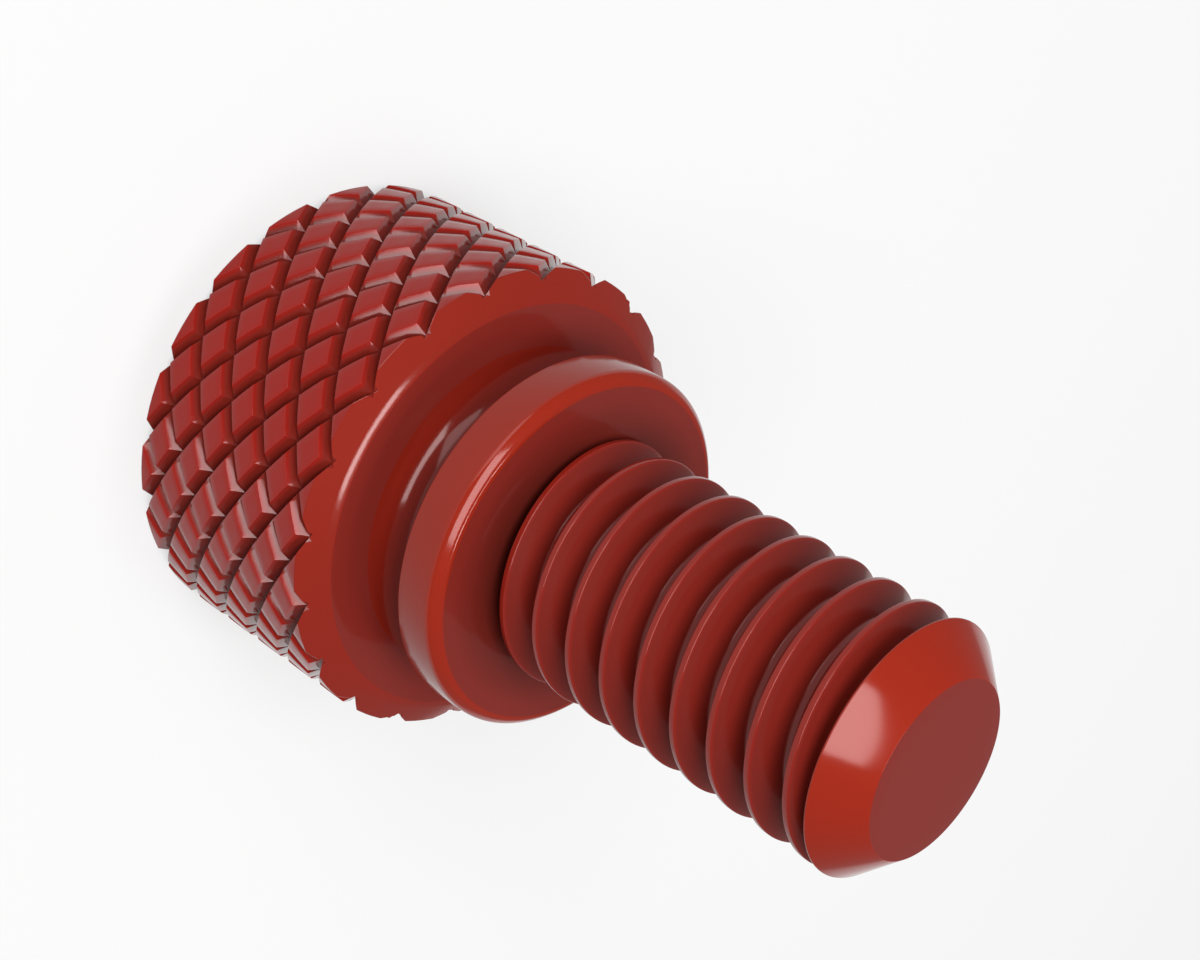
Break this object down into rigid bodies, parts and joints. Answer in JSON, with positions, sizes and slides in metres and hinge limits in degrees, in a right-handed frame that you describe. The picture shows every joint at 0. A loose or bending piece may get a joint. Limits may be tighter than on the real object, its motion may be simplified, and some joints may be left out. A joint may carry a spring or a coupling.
{
  "type": "knurled thumb screw",
  "caption": "Thumb screw with a diamond-knurled head, a necked bearing collar and a short right-hand threaded shank with a chamfered tip.",
  "frame": {"origin": "centre of the flat end of the head, which the screw stands on", "axes": "+Z along the screw's axis, from the head to the tip"},
  "size_m": [0.0078, 0.0078, 0.013],
  "materials": {
    "finish": "turned and knurled aluminium, dyed red and sealed to a smooth gloss"
  },
  "bodies": {
    "root": {"thumb_screw": "finish"}
  },
  "joints": []
}
